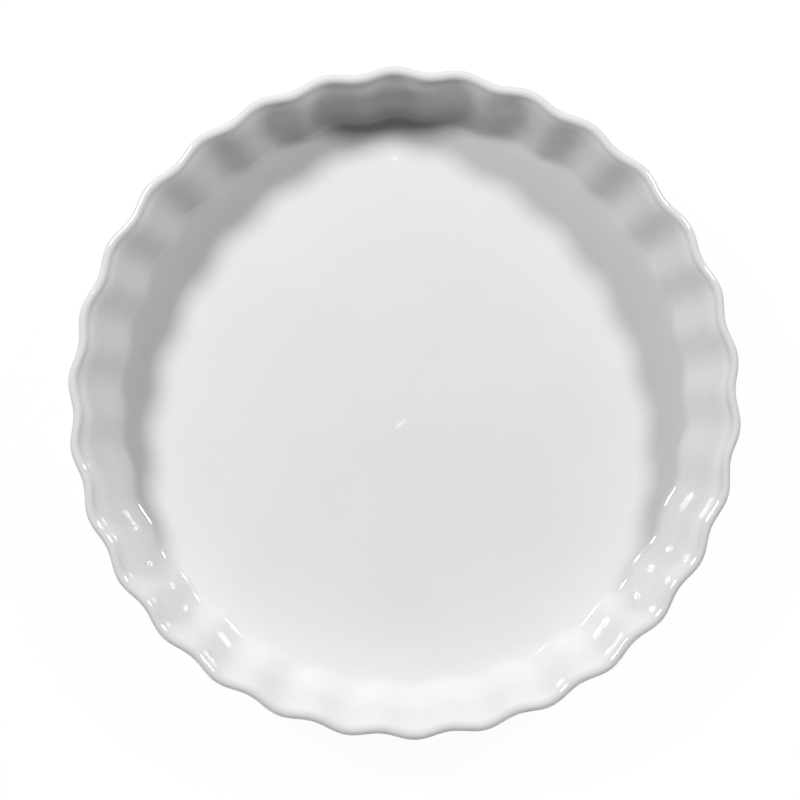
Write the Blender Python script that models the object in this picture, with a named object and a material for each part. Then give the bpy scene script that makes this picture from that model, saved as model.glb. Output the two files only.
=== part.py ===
"""Round fluted baking dish, one glazed porcelain casting, at its real size.

Metres, +Z up. The origin is the centre of the circle that the foot ring rests on.
The dish is one turned half-section, spun about Z and then fluted in and out all round.
"""
import math

import bmesh
import bpy

# Bowl: sizes at the mean line between the flutes' crests and valleys
RIM_RADIUS = 0.1400
HEIGHT = 0.0400
THICKNESS = 0.0038

# Wall: how far it leans from the vertical on its way down. It flares at the lip, stands steepest
# at mid-height and sweeps in to a corner at the floor. The upright part takes what height is left.
FLARE_LEAN = math.radians(24.0)
STEEPEST_LEAN = math.radians(13.5)
SWEEP_LEAN = math.radians(14.5)
FOOT_LEAN = math.radians(33.0)
FLARE_DROP = 0.0108
SWEEP_DROP = 0.0146
CORNER_RADIUS = 0.0040

# Flutes: how many, and how far a crest stands out from a valley
FLUTES = 30
RIM_FLUTE_DEPTH = 0.00235
FOOT_FLUTE_DEPTH = 0.0019

# Foot ring, set in from the floor's edge
FOOT_RING_INSET = 0.0028
FOOT_RING_WIDTH = 0.0050
FOOT_RING_HEIGHT = 0.0023
FOOT_RING_ROUND = 0.0009

# Facets: those of the two sides of the wall are for flare, upright part, sweep and corner
STEPS_PER_FLUTE = 6
INNER_WALL_STEPS = (3, 1, 4, 3)
OUTER_WALL_STEPS = (2, 1, 3, 3)
LIP_INNER_STEPS = 3
LIP_OUTER_STEPS = 4
FOOT_RING_STEPS = 2
SHARP_ANGLE = math.radians(40.0)
MERGE_DISTANCE = 0.000001

# The lip is a half round over the wall, and the floor stands on the foot ring
LIP_RADIUS = THICKNESS / 2
FLOOR_HEIGHT = FOOT_RING_HEIGHT + THICKNESS
LEVEL = math.radians(90.0)


def clear_scene():
    for old in list(bpy.data.objects):
        bpy.data.objects.remove(old, do_unlink=True)


def arc(centre, radius, start, end, steps):
    """Points on an arc about centre, both ends included, as (radius from the axis, height)."""
    points = []
    for step in range(steps + 1):
        angle = start + (end - start) * step / steps
        points.append((centre[0] + radius * math.cos(angle), centre[1] + radius * math.sin(angle)))
    return points


def lip():
    """Half round from the wall's inner face over the top to its outer face."""
    centre = (RIM_RADIUS - LIP_RADIUS, HEIGHT - LIP_RADIUS)
    points = arc(centre, LIP_RADIUS, 2 * LEVEL - FLARE_LEAN, LEVEL, LIP_INNER_STEPS)
    points += arc(centre, LIP_RADIUS, LEVEL, -FLARE_LEAN, LIP_OUTER_STEPS)[1:]
    return points


def bend_down(start, radius, lean, new_lean, steps):
    """Carry a wall on downwards from start, in an arc that turns it from one lean to another.

    A radius over 0 turns it in towards the axis, and one under 0 turns it upright.
    """
    centre = (start[0] - radius * math.cos(lean), start[1] + radius * math.sin(lean))
    return arc(centre, radius, -lean, -new_lean, steps)[1:]


def wall(top, offset, steps):
    """One side of the wall from below the lip to level: flare, upright part, sweep and corner.

    The radii are those of the inside. The offset is 0 there, and the thickness on the outside.
    """
    lip_drop = LIP_RADIUS * (1 - math.sin(FLARE_LEAN))
    corner_drop = CORNER_RADIUS * (1 - math.sin(FOOT_LEAN))
    upright_drop = HEIGHT - FLOOR_HEIGHT - lip_drop - FLARE_DROP - SWEEP_DROP - corner_drop
    flare_radius = FLARE_DROP / (math.sin(STEEPEST_LEAN) - math.sin(FLARE_LEAN))
    upright_radius = upright_drop / (math.sin(SWEEP_LEAN) - math.sin(STEEPEST_LEAN))
    sweep_radius = SWEEP_DROP / (math.sin(FOOT_LEAN) - math.sin(SWEEP_LEAN))
    points = bend_down(top, flare_radius + offset, FLARE_LEAN, STEEPEST_LEAN, steps[0])
    points += bend_down(points[-1], upright_radius + offset, STEEPEST_LEAN, SWEEP_LEAN, steps[1])
    points += bend_down(points[-1], sweep_radius + offset, SWEEP_LEAN, FOOT_LEAN, steps[2])
    points += bend_down(points[-1], CORNER_RADIUS + offset, FOOT_LEAN, LEVEL, steps[3])
    return points


def foot_ring(outer_radius):
    """Ring under the floor, its two bottom edges rounded, from its outer to its inner side."""
    inner_radius = outer_radius - FOOT_RING_WIDTH
    outer_centre = (outer_radius - FOOT_RING_ROUND, FOOT_RING_ROUND)
    inner_centre = (inner_radius + FOOT_RING_ROUND, FOOT_RING_ROUND)
    points = [(outer_radius, FOOT_RING_HEIGHT)]
    points += arc(outer_centre, FOOT_RING_ROUND, 0, -LEVEL, FOOT_RING_STEPS)
    points += arc(inner_centre, FOOT_RING_ROUND, -LEVEL, -2 * LEVEL, FOOT_RING_STEPS)
    points.append((inner_radius, FOOT_RING_HEIGHT))
    return points


def dish_section():
    """Half-section from the floor's edge over the lip to the foot ring, with both of those radii."""
    over_lip = lip()
    inside = wall(over_lip[0], 0, INNER_WALL_STEPS)
    outside = wall(over_lip[-1], THICKNESS, OUTER_WALL_STEPS)
    floor_edge = inside[-1][0]
    ring_outer = floor_edge - FOOT_RING_INSET
    section = inside[::-1] + over_lip + outside + foot_ring(ring_outer)
    return section, floor_edge, ring_outer


def spin_section(section):
    """Closed body of revolution: the section spun once round Z, with flat faces over its two ends."""
    body = bmesh.new()
    corners = [body.verts.new((radius, 0.0, height)) for radius, height in section]
    edges = [body.edges.new(pair) for pair in zip(corners, corners[1:])]
    bmesh.ops.spin(body, geom=corners + edges, cent=(0, 0, 0), axis=(0, 0, 1), dvec=(0, 0, 0),
                   angle=math.tau, steps=FLUTES * STEPS_PER_FLUTE, use_merge=True, use_duplicate=False)
    bmesh.ops.remove_doubles(body, verts=body.verts[:], dist=MERGE_DISTANCE)
    open_edges = [edge for edge in body.edges if edge.is_boundary]
    bmesh.ops.holes_fill(body, edges=open_edges, sides=0)
    return body


def flute(body, floor_edge, ring_outer):
    """Press the flutes: deepest at the lip, shallower at the floor, and none on the foot ring."""
    for vert in body.verts:
        radius = math.hypot(vert.co.x, vert.co.y)
        angle = math.atan2(vert.co.y, vert.co.x)
        rise = (vert.co.z - FLOOR_HEIGHT) / (HEIGHT - FLOOR_HEIGHT)
        depth = FOOT_FLUTE_DEPTH + (RIM_FLUTE_DEPTH - FOOT_FLUTE_DEPTH) * max(rise, 0.0)
        share = min(max((radius - ring_outer) / (floor_edge - ring_outer), 0.0), 1.0)
        stretch = 1 + share * depth / 2 * math.cos(FLUTES * angle) / radius
        vert.co.x *= stretch
        vert.co.y *= stretch


def glazed_porcelain():
    material = bpy.data.materials.new("glazed_porcelain")
    material.use_nodes = True
    shader = material.node_tree.nodes["Principled BSDF"]
    shader.inputs["Base Color"].default_value = (0.80, 0.80, 0.79, 1.0)
    shader.inputs["Roughness"].default_value = 0.08
    shader.inputs["Metallic"].default_value = 0.0
    shader.inputs["Coat Weight"].default_value = 0.5
    shader.inputs["Coat Roughness"].default_value = 0.04
    return material


def fluted_baking_dish():
    section, floor_edge, ring_outer = dish_section()
    body = spin_section(section)
    flute(body, floor_edge, ring_outer)
    bmesh.ops.recalc_face_normals(body, faces=body.faces[:])
    mesh = bpy.data.meshes.new("fluted_baking_dish")
    body.to_mesh(mesh)
    body.free()
    mesh.shade_smooth()
    mesh.set_sharp_from_angle(angle=SHARP_ANGLE)
    mesh.materials.append(glazed_porcelain())
    dish = bpy.data.objects.new("fluted_baking_dish", mesh)
    bpy.context.scene.collection.objects.link(dish)
    return dish


clear_scene()
fluted_baking_dish()
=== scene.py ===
"""Looks of a round fluted baking dish in white glazed porcelain, seen from straight above."""
import math

import bmesh
import bpy
from mathutils import Matrix, Vector


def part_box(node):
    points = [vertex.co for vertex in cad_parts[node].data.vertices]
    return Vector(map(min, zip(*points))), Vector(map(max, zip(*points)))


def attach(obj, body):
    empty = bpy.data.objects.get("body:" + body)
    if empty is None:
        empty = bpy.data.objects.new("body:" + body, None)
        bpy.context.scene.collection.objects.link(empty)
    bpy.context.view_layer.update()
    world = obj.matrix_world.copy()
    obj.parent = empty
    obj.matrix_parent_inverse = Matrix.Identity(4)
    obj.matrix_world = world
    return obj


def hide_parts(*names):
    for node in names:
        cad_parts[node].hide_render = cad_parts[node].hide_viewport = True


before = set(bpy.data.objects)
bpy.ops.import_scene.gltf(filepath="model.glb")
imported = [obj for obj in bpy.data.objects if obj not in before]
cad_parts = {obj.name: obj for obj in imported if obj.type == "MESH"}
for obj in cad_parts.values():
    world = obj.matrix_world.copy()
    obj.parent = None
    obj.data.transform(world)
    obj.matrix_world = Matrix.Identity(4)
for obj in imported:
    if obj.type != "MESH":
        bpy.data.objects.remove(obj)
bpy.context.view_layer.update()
collection = bpy.context.scene.collection


# The dish body: one porcelain casting, pressed in a fluted mould and fired in one piece. The wall
# flares at its rounded lip, stands steepest at mid-height and sweeps in to the flat floor. It is
# as thick as the floor all the way down, and a low foot ring carries it.
FLUTES = 30
RIM_FLUTE_DEPTH = 0.00235
FOOT_FLUTE_DEPTH = 0.0019
MOULD_MARGIN = 0.0001
dish_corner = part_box("fluted_baking_dish")[1]
HEIGHT = dish_corner[2]
RIM_RADIUS = dish_corner[0] - RIM_FLUTE_DEPTH / 2 - MOULD_MARGIN
THICKNESS = 0.0038

# Lip: rounded a little wider on its inner side. Each lean is in degrees from the vertical.
LIP_OUTER_RADIUS = 0.0019
LIP_INNER_RADIUS = 0.0028
LIP_OUTER_LEAN = 24.0
LIP_INNER_LEAN = 28.0

# Wall: each stretch is its drop in height and the lean at its lower end
INNER_STRETCHES = ((0.0016, 21.2), (0.0045, 15.6), (0.0030, 13.0), (0.0065, 13.4))
OUTER_STRETCHES = ((0.0108, 13.5), (0.0055, 14.5))
FOOT_LEAN = 31.5
LEVEL_LEAN = 90.0
CORNER_RADIUS = 0.0040

# Foot ring, set in from the floor's edge
FOOT_RING_INSET = 0.0028
FOOT_RING_WIDTH = 0.0050
FOOT_RING_HEIGHT = 0.0023
FOOT_RING_ROUND = 0.0009
FOOT_RING_FILLET = 0.0007
FLOOR_HEIGHT = FOOT_RING_HEIGHT + THICKNESS

# Facets, and the rings of the two flat faces as shares of their radius
FACETS_PER_FLUTE = 24
LIP_INNER_STEPS = 14
LIP_OUTER_STEPS = 20
STRETCH_STEPS = 5
SWEEP_STEPS = 10
CORNER_STEPS = 8
RING_FILLET_STEPS = 4
RING_ROUND_STEPS = 5
FLOOR_RINGS = (0.0, 0.3, 0.7, 0.95, 0.99)
UNDERSIDE_RINGS = (0.9, 0.4, 0.0)
MERGE_DISTANCE = 0.000001
UP = math.radians(90.0)


def arc(centre, radius, start, end, steps):
    """Points on an arc about centre, as (radius from the axis, height)."""
    points = []
    for step in range(steps + 1):
        angle = start + (end - start) * step / steps
        points.append((centre[0] + radius * math.cos(angle), centre[1] + radius * math.sin(angle)))
    return points


def bend_down(start, drop, lean, new_lean, steps):
    """Carry a wall on downwards from start, turning it evenly from one lean to another."""
    lean, new_lean = math.radians(lean), math.radians(new_lean)
    radius = drop / (math.sin(new_lean) - math.sin(lean))
    centre = (start[0] - radius * math.cos(lean), start[1] + radius * math.sin(lean))
    return arc(centre, radius, -lean, -new_lean, steps)[1:]


def wall(lip, lean, stretches, corner_radius, level):
    """One side of the wall from the lip's top to level: lip, stretches, sweep and corner."""
    points = lip
    for drop, new_lean in stretches:
        points = points + bend_down(points[-1], drop, lean, new_lean, STRETCH_STEPS)
        lean = new_lean
    corner_drop = corner_radius * (1 - math.sin(math.radians(FOOT_LEAN)))
    sweep_drop = points[-1][1] - level - corner_drop
    points = points + bend_down(points[-1], sweep_drop, lean, FOOT_LEAN, SWEEP_STEPS)
    return points + bend_down(points[-1], corner_drop, FOOT_LEAN, LEVEL_LEAN, CORNER_STEPS)


def foot_ring(outer_radius):
    """Ring under the floor: filleted into the underside, and rounded at both bottom edges."""
    inner_radius = outer_radius - FOOT_RING_WIDTH
    fillet_height = FOOT_RING_HEIGHT - FOOT_RING_FILLET
    outer_fillet = (outer_radius + FOOT_RING_FILLET, fillet_height)
    outer_round = (outer_radius - FOOT_RING_ROUND, FOOT_RING_ROUND)
    inner_round = (inner_radius + FOOT_RING_ROUND, FOOT_RING_ROUND)
    inner_fillet = (inner_radius - FOOT_RING_FILLET, fillet_height)
    points = arc(outer_fillet, FOOT_RING_FILLET, UP, 2 * UP, RING_FILLET_STEPS)
    points += arc(outer_round, FOOT_RING_ROUND, 0, -UP, RING_ROUND_STEPS)
    points += arc(inner_round, FOOT_RING_ROUND, -UP, -2 * UP, RING_ROUND_STEPS)
    points += arc(inner_fillet, FOOT_RING_FILLET, 0, UP, RING_FILLET_STEPS)
    return points


def rings_inward(radius, height, shares):
    return [(radius * share, height) for share in shares]


# Half-section, from the middle of the floor over the lip to the middle of the underside
lip_top = RIM_RADIUS - LIP_OUTER_RADIUS
inner_centre = (lip_top, HEIGHT - LIP_INNER_RADIUS)
outer_centre = (lip_top, HEIGHT - LIP_OUTER_RADIUS)
inner_end = 2 * UP - math.radians(LIP_INNER_LEAN)
outer_end = -math.radians(LIP_OUTER_LEAN)
lip_inside = arc(inner_centre, LIP_INNER_RADIUS, UP, inner_end, LIP_INNER_STEPS)
lip_outside = arc(outer_centre, LIP_OUTER_RADIUS, UP, outer_end, LIP_OUTER_STEPS)
outer_corner = CORNER_RADIUS + THICKNESS
inside = wall(lip_inside, LIP_INNER_LEAN, INNER_STRETCHES, CORNER_RADIUS, FLOOR_HEIGHT)
outside = wall(lip_outside, LIP_OUTER_LEAN, OUTER_STRETCHES, outer_corner, FOOT_RING_HEIGHT)
floor_edge = inside[-1][0]
ring_outer = floor_edge - FOOT_RING_INSET
ring_inner = ring_outer - FOOT_RING_WIDTH
section = rings_inward(floor_edge, FLOOR_HEIGHT, FLOOR_RINGS)
section += inside[::-1] + outside[1:] + foot_ring(ring_outer)
section += rings_inward(ring_inner, FOOT_RING_HEIGHT, UNDERSIDE_RINGS)

# One flute is spun and pressed out to its crest, and then repeated round the dish.
FLUTE_ANGLE = math.tau / FLUTES
dish_mesh = bmesh.new()
corners = [dish_mesh.verts.new((radius, 0.0, height)) for radius, height in section]
edges = [dish_mesh.edges.new(pair) for pair in zip(corners, corners[1:])]
bmesh.ops.spin(dish_mesh, geom=corners + edges, cent=(0, 0, 0), axis=(0, 0, 1), dvec=(0, 0, 0),
               angle=FLUTE_ANGLE, steps=FACETS_PER_FLUTE, use_merge=False, use_duplicate=False)
for vert in dish_mesh.verts:
    radius = math.hypot(vert.co.x, vert.co.y)
    angle = math.atan2(vert.co.y, vert.co.x)
    rise = max((vert.co.z - FLOOR_HEIGHT) / (HEIGHT - FLOOR_HEIGHT), 0.0)
    depth = FOOT_FLUTE_DEPTH + (RIM_FLUTE_DEPTH - FOOT_FLUTE_DEPTH) * rise
    share = min(max((radius - ring_outer) / (floor_edge - ring_outer), 0.0), 1.0)
    if share > 0.0:
        stretch = 1 + share * depth / 2 * math.cos(FLUTES * angle) / radius
        vert.co.x *= stretch
        vert.co.y *= stretch

one_flute = dish_mesh.verts[:] + dish_mesh.edges[:] + dish_mesh.faces[:]
for number in range(1, FLUTES):
    copy = bmesh.ops.duplicate(dish_mesh, geom=one_flute)
    copied_verts = [item for item in copy["geom"] if isinstance(item, bmesh.types.BMVert)]
    bmesh.ops.rotate(dish_mesh, verts=copied_verts, cent=(0, 0, 0),
                     matrix=Matrix.Rotation(number * FLUTE_ANGLE, 3, "Z"))
bmesh.ops.remove_doubles(dish_mesh, verts=dish_mesh.verts[:], dist=MERGE_DISTANCE)
bmesh.ops.recalc_face_normals(dish_mesh, faces=dish_mesh.faces[:])

# The glaze is wiped off the ring's foot, up to three quarters of the way round its edges.
WIPED_SHARE = 0.75
for face in dish_mesh.faces:
    face.smooth = True
    low_on_ring = face.calc_center_median().z < FOOT_RING_ROUND * WIPED_SHARE
    face.material_index = 1 if low_on_ring else 0

mesh = bpy.data.meshes.new("glazed_dish")
dish_mesh.to_mesh(mesh)
dish_mesh.free()
dish = bpy.data.objects.new("glazed_dish", mesh)
collection.objects.link(dish)


# The glaze: clear gloss, about 0.3 mm thick, poured over white porcelain and fired. It runs thin
# over the lip, where the greyer body shows through, and pools less glossy in the corner at the
# floor. Tiny iron specks from the body show in it, and its skin isn't quite flat.
GLAZE_COLOUR = (0.80, 0.80, 0.798, 1.0)
CLOUDY_COLOUR = (0.785, 0.785, 0.785, 1.0)
THIN_COLOUR = (0.745, 0.744, 0.740, 1.0)
POOLED_COLOUR = (0.812, 0.812, 0.811, 1.0)
SPECK_COLOUR = (0.69, 0.67, 0.63, 1.0)
THIN_DEPTH = 0.0025
POOL_HEIGHT = 0.0030
POOL_WIDTH = 0.0060
CLOUDS_PER_METRE = 22.0
CLOUD_RANGE = (0.35, 0.65)
SPECKS_PER_METRE = 260.0
SPECK_GROUPS_PER_METRE = SPECKS_PER_METRE / 3
SPECK_RANGE = (0.025, 0.075)
SPECK_GROUP_RANGE = (0.60, 0.64)
GLAZE_ROUGHNESS = 0.03
CLOUDY_ROUGHNESS = 0.01
THIN_ROUGHNESS = 0.02
POOL_ROUGHNESS = 0.12
GLASS_IOR = 1.52
SKIN_WEIGHT = 0.6
SKIN_ROUGHNESS = 0.015
RIPPLES_PER_METRE = 160.0
RIPPLE_DEPTH = 0.000003


class Shade:
    """One output of a shader node. Its operators add Math nodes, and make() adds any other node."""

    def __init__(self, tree, socket=None):
        self.tree = tree
        self.socket = socket

    def make(self, kind, settings=(), sockets=(), output=0):
        """Add a node. Its settings are set first, and then its sockets get their values or links."""
        node = self.tree.nodes.new(kind)
        for name, setting in dict(settings).items():
            setattr(node, name, setting)
        for name, value in dict(sockets).items():
            if isinstance(value, Shade):
                self.tree.links.new(value.socket, node.inputs[name])
            else:
                node.inputs[name].default_value = value
        return Shade(self.tree, node.outputs[output] if len(node.outputs) else None)

    def maths(self, operation, first, second):
        return self.make("ShaderNodeMath", {"operation": operation}, {0: first, 1: second})

    def __add__(self, other):
        return self.maths("ADD", self, other)

    def __rsub__(self, other):
        return self.maths("SUBTRACT", other, self)

    def __mul__(self, other):
        return self.maths("MULTIPLY", self, other)

    __radd__ = __add__
    __rmul__ = __mul__

    def rise(self, low, high):
        """0 up to low, 1 from high on, and a smooth rise between them."""
        return self.make("ShaderNodeMapRange", {"interpolation_type": "SMOOTHSTEP"},
                         {"Value": self, "From Min": low, "From Max": high})

    def tint(self, plain, tinted):
        """Turn one colour into another where this mask is 1."""
        return self.make("ShaderNodeMix", {"data_type": "RGBA"}, {0: self, 6: plain, 7: tinted}, 2)

    def noise(self, per_metre, detail):
        """Soft noise at this place, with so many blots to the metre."""
        sockets = {"Vector": self, "Scale": per_metre, "Detail": detail}
        return self.make("ShaderNodeTexNoise", (), sockets)


def empty_tree(owner):
    owner.use_nodes = True
    owner.node_tree.nodes.clear()
    return Shade(owner.node_tree)


glaze = bpy.data.materials.new("clear_glaze")
shade = empty_tree(glaze)
place = shade.make("ShaderNodeTexCoord", output=3)
height = shade.make("ShaderNodeSeparateXYZ", (), {0: place}, 2)
flat_place = shade.make("ShaderNodeVectorMath", {"operation": "MULTIPLY"}, {0: place, 1: (1, 1, 0)})
across = shade.make("ShaderNodeVectorMath", {"operation": "LENGTH"}, {0: flat_place}, 1)
clouds = place.noise(CLOUDS_PER_METRE, 3.0)
ripples = place.noise(RIPPLES_PER_METRE, 2.0)
grains = shade.make("ShaderNodeTexVoronoi", (), {"Vector": place, "Scale": SPECKS_PER_METRE})
groups = place.noise(SPECK_GROUPS_PER_METRE, 2.0)

thin = height.rise(HEIGHT - THIN_DEPTH, HEIGHT)
low_down = 1 - height.rise(FLOOR_HEIGHT, FLOOR_HEIGHT + POOL_HEIGHT)
pooled = low_down * across.rise(floor_edge - POOL_WIDTH, floor_edge)
speck = (1 - grains.rise(*SPECK_RANGE)) * groups.rise(*SPECK_GROUP_RANGE)
colour = clouds.rise(*CLOUD_RANGE).tint(GLAZE_COLOUR, CLOUDY_COLOUR)
colour = thin.tint(colour, THIN_COLOUR)
colour = pooled.tint(colour, POOLED_COLOUR)
colour = speck.tint(colour, SPECK_COLOUR)
roughness = GLAZE_ROUGHNESS + CLOUDY_ROUGHNESS * clouds + THIN_ROUGHNESS * thin
skin = shade.make("ShaderNodeBump", (), {"Distance": RIPPLE_DEPTH, "Height": ripples})
glazed = shade.make("ShaderNodeBsdfPrincipled", (), {
    "Base Color": colour,
    "Roughness": roughness + (POOL_ROUGHNESS - GLAZE_ROUGHNESS) * pooled,
    "IOR": GLASS_IOR,
    "Coat Weight": SKIN_WEIGHT,
    "Coat Roughness": SKIN_ROUGHNESS,
    "Coat IOR": GLASS_IOR,
    "Normal": skin,
})
shade.make("ShaderNodeOutputMaterial", (), {"Surface": glazed})
mesh.materials.append(glaze)


# The foot ring's resting face, wiped clean of glaze so that it doesn't stick to the kiln shelf:
# bare fired porcelain, matt and a little sandy, greyer where the shelf has rubbed it.
BARE_COLOUR = (0.70, 0.68, 0.64, 1.0)
RUBBED_COLOUR = (0.61, 0.59, 0.56, 1.0)
RUBS_PER_METRE = 90.0
RUB_RANGE = (0.45, 0.70)
RUB_SHARE = 0.8
GRAINS_PER_METRE = 1800.0
GRAIN_DEPTH = 0.00004
BARE_ROUGHNESS = 0.6
GRAIN_ROUGHNESS = 0.2

bare = bpy.data.materials.new("bare_porcelain")
shade = empty_tree(bare)
place = shade.make("ShaderNodeTexCoord", output=3)
sand = place.noise(GRAINS_PER_METRE, 2.0)
rubs = place.noise(RUBS_PER_METRE, 4.0)
rubbed = rubs.rise(*RUB_RANGE) * RUB_SHARE + sand * (1 - RUB_SHARE)
grit = shade.make("ShaderNodeBump", (), {"Distance": GRAIN_DEPTH, "Height": sand})
ground = shade.make("ShaderNodeBsdfPrincipled", (), {
    "Base Color": rubbed.tint(BARE_COLOUR, RUBBED_COLOUR),
    "Roughness": BARE_ROUGHNESS + GRAIN_ROUGHNESS * sand,
    "Normal": grit,
})
shade.make("ShaderNodeOutputMaterial", (), {"Surface": ground})
mesh.materials.append(bare)

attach(dish, "root")
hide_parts("fluted_baking_dish")


# The studio floor: one flat sheet of white paper, just under the foot ring. It shows as white to
# the camera, apart from a soft shadow round the dish, and as a quieter grey to the dish itself.
FLOOR_SIZE = 6.0
FLOOR_GAP = 0.0002
PAPER_COLOUR = (0.45, 0.45, 0.45, 1.0)
SHADOW_SHARE = 0.10
PAPER_WHITE = 1.07

floor_mesh = bmesh.new()
bmesh.ops.create_grid(floor_mesh, x_segments=1, y_segments=1, size=FLOOR_SIZE / 2)
bmesh.ops.translate(floor_mesh, verts=floor_mesh.verts[:], vec=(0, 0, -FLOOR_GAP))
floor_data = bpy.data.meshes.new("studio_floor")
floor_mesh.to_mesh(floor_data)
floor_mesh.free()
studio_floor = bpy.data.objects.new("studio_floor", floor_data)
collection.objects.link(studio_floor)

paper = bpy.data.materials.new("white_paper")
shade = empty_tree(paper)
seen = shade.make("ShaderNodeLightPath")
matt = shade.make("ShaderNodeBsdfDiffuse", (), {"Color": PAPER_COLOUR})
white = shade.make("ShaderNodeEmission", (), {"Strength": PAPER_WHITE})
sheet = shade.make("ShaderNodeMixShader", (), {0: seen * (1 - SHADOW_SHARE), 1: matt, 2: white})
shade.make("ShaderNodeOutputMaterial", (), {"Surface": sheet})
floor_data.materials.append(paper)


# The camera: on a boom straight above the dish, 0.7 m over its rim. The photograph's right
# lies a little round from +X, because the dish was set down with its flutes turned that way.
PHOTO_PIXELS = 800
PHOTO_TURN = math.radians(4.06)
RIM_PIXELS = 335.0
DISH_PIXEL = (404.5, 403.0)
CAMERA_OVER_RIM = 0.70
CAMERA_REACH = 20.0
SENSOR = 36.0

photo_right = Vector((math.cos(PHOTO_TURN), math.sin(PHOTO_TURN), 0))
photo_up = Vector((-math.sin(PHOTO_TURN), math.cos(PHOTO_TURN), 0))
metres_per_pixel = RIM_RADIUS / RIM_PIXELS
aim = Vector((0, 0, HEIGHT)) \
    + photo_right * (PHOTO_PIXELS / 2 - DISH_PIXEL[0]) * metres_per_pixel \
    + photo_up * (DISH_PIXEL[1] - PHOTO_PIXELS / 2) * metres_per_pixel
lens_data = bpy.data.cameras.new("overhead_camera")
lens_data.sensor_width = SENSOR
lens_data.lens = SENSOR * CAMERA_OVER_RIM / (PHOTO_PIXELS * metres_per_pixel)
lens_data.clip_end = CAMERA_REACH
camera = bpy.data.objects.new("overhead_camera", lens_data)
camera.rotation_euler = (0, 0, PHOTO_TURN)
camera.location = aim + Vector((0, 0, CAMERA_OVER_RIM))
collection.objects.link(camera)
bpy.context.scene.camera = camera


# The lamps: two round studio lamps behind the dish, left and right, aimed down at it. They cast
# the far wall's shadow on the floor, and show as the bright spots in the glaze of the near wall.
LAMP_DISTANCE = 1.3


def studio_lamp(name, azimuth, zenith, radius, watts):
    """A round lamp aimed at the dish, its azimuth counted from the photograph's right."""
    turned = math.radians(azimuth) + PHOTO_TURN
    lean = math.radians(zenith)
    level = math.sin(lean)
    towards = Vector((level * math.cos(turned), level * math.sin(turned), math.cos(lean)))
    light = bpy.data.lights.new(name, "AREA")
    light.shape = "DISK"
    light.size = 2 * radius
    light.energy = watts
    lamp = bpy.data.objects.new(name, light)
    lamp.location = Vector((0, 0, HEIGHT)) + towards * LAMP_DISTANCE
    lamp.rotation_euler = towards.to_track_quat("Z", "Y").to_euler()
    collection.objects.link(lamp)


studio_lamp("left_lamp", azimuth=144.5, zenith=48.7, radius=0.130, watts=13.5)
studio_lamp("right_lamp", azimuth=35.3, zenith=52.2, radius=0.106, watts=10.3)


# Two white cards, upright on the floor or over it. A low strip in front lightens only the near
# outer side of the rim. A taller one to its right shows only in the glaze, over the rim, as the
# thin light line in the far corner of the dish's floor.
def white_card(name, azimuth, distance, low, high, width, watts):
    """An upright card that faces the dish, its azimuth counted from the photograph's right."""
    turned = math.radians(azimuth) + PHOTO_TURN
    towards = Vector((math.cos(turned), math.sin(turned), 0))
    light = bpy.data.lights.new(name, "AREA")
    light.shape = "RECTANGLE"
    light.size = width
    light.size_y = high - low
    light.energy = watts
    card = bpy.data.objects.new(name, light)
    card.location = towards * distance + Vector((0, 0, (low + high) / 2))
    card.rotation_euler = towards.to_track_quat("Z", "Y").to_euler()
    collection.objects.link(card)
    return card


white_card("front_card", azimuth=270.0, distance=0.45, low=0.001, high=0.037, width=1.0, watts=0.62)
side_card = white_card("side_card", azimuth=304.0, distance=0.60, low=0.060, high=0.155,
                       width=0.37, watts=0.22)
side_card.visible_diffuse = False


# Two small bright things level with the camera: the edge of the lens, and a lamp in the ceiling.
# Both show only in the glaze, where the dish's flat floor mirrors them.
def overhead_glint(name, pixel, half_size, turn, strength):
    """A small bright thing that the floor mirrors at this pixel, its half size in pixels too."""
    floor_pixel = metres_per_pixel * (CAMERA_OVER_RIM + HEIGHT - FLOOR_HEIGHT) / CAMERA_OVER_RIM
    right = (pixel[0] - PHOTO_PIXELS / 2) * floor_pixel
    up = (PHOTO_PIXELS / 2 - pixel[1]) * floor_pixel
    light = bpy.data.lights.new(name, "AREA")
    light.shape = "ELLIPSE"
    light.size = 2 * half_size[0] * floor_pixel
    light.size_y = 2 * half_size[1] * floor_pixel
    light.energy = strength * math.pi * math.pi / 4 * light.size * light.size_y
    glint = bpy.data.objects.new(name, light)
    glint.location = camera.location + 2 * (photo_right * right + photo_up * up)
    glint.rotation_euler = (0, 0, PHOTO_TURN + math.radians(turn))
    glint.visible_diffuse = False
    collection.objects.link(glint)


overhead_glint("lens_edge", pixel=(401.0, 423.5), half_size=(13.0, 3.0), turn=40.0, strength=3.2)
overhead_glint("ceiling_lamp", pixel=(395.5, 158.0), half_size=(5.0, 4.0), turn=0.0, strength=2.6)


# The room: dim and grey all round, so that the glaze mirrors little of it. The camera sees plain
# white where it looks past the sheet of paper.
ROOM_LIGHT = 0.103
BACKDROP_COLOUR = (1.0, 1.0, 1.0, 1.0)

world = bpy.data.worlds.new("room")
shade = empty_tree(world)
seen = shade.make("ShaderNodeLightPath")
grey = shade.make("ShaderNodeBackground", (), {"Strength": ROOM_LIGHT})
backdrop = shade.make("ShaderNodeBackground", (), {"Color": BACKDROP_COLOUR})
room = shade.make("ShaderNodeMixShader", (), {0: seen, 1: grey, 2: backdrop})
shade.make("ShaderNodeOutputWorld", (), {"Surface": room})
bpy.context.scene.world = world
bpy.context.scene.view_settings.view_transform = "Standard"
